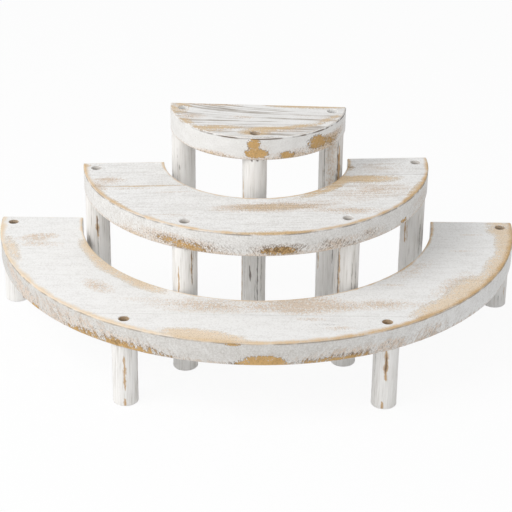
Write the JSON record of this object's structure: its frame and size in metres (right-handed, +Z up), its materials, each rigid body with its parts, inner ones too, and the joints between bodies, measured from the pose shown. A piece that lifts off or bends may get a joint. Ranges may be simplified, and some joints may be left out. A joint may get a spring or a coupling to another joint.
{
  "type": "tiered display stand",
  "caption": "Three nesting half-round wooden risers on dowel legs, set one inside the next as a stepped display stand with a whitewashed, distressed finish.",
  "frame": {"origin": "on the floor, below the middle of the stand's width and depth", "axes": "+Z up, X along the straight backs of the shelves, -Y towards the rounded fronts"},
  "size_m": [0.52, 0.269, 0.212],
  "materials": {
    "shelf_wood": "whitewashed pine, sanded through along the edges, matt",
    "leg_wood": "whitewashed pine dowel, matt",
    "screw_steel": "zinc plated"
  },
  "bodies": {
    "bottom_riser": {"bottom_left_end_plank": "shelf_wood", "bottom_right_end_plank": "shelf_wood", "bottom_left_side_plank": "shelf_wood", "bottom_right_side_plank": "shelf_wood", "bottom_bay_plank": "shelf_wood", "bottom_front_plank": "shelf_wood", "bottom_rear_left_leg": "leg_wood", "bottom_front_left_leg": "leg_wood", "bottom_front_right_leg": "leg_wood", "bottom_rear_right_leg": "leg_wood", "bottom_screws": "screw_steel"},
    "middle_riser": {"middle_left_plank": "shelf_wood", "middle_right_plank": "shelf_wood", "middle_bay_plank": "shelf_wood", "middle_front_plank": "shelf_wood", "middle_rear_left_leg": "leg_wood", "middle_front_left_leg": "leg_wood", "middle_front_right_leg": "leg_wood", "middle_rear_right_leg": "leg_wood", "middle_screws": "screw_steel"},
    "top_riser": {"top_rear_plank": "shelf_wood", "top_front_plank": "shelf_wood", "top_left_leg": "leg_wood", "top_front_leg": "leg_wood", "top_right_leg": "leg_wood", "top_screws": "screw_steel"}
  },
  "joints": [
    {"name": "middle_riser_slide", "type": "slide", "parent": "bottom_riser", "child": "middle_riser", "axis": [0, 1, 0], "range_m": [0, 0.25]},
    {"name": "top_riser_slide", "type": "slide", "parent": "middle_riser", "child": "top_riser", "axis": [0, 1, 0], "range_m": [0, 0.15]}
  ]
}
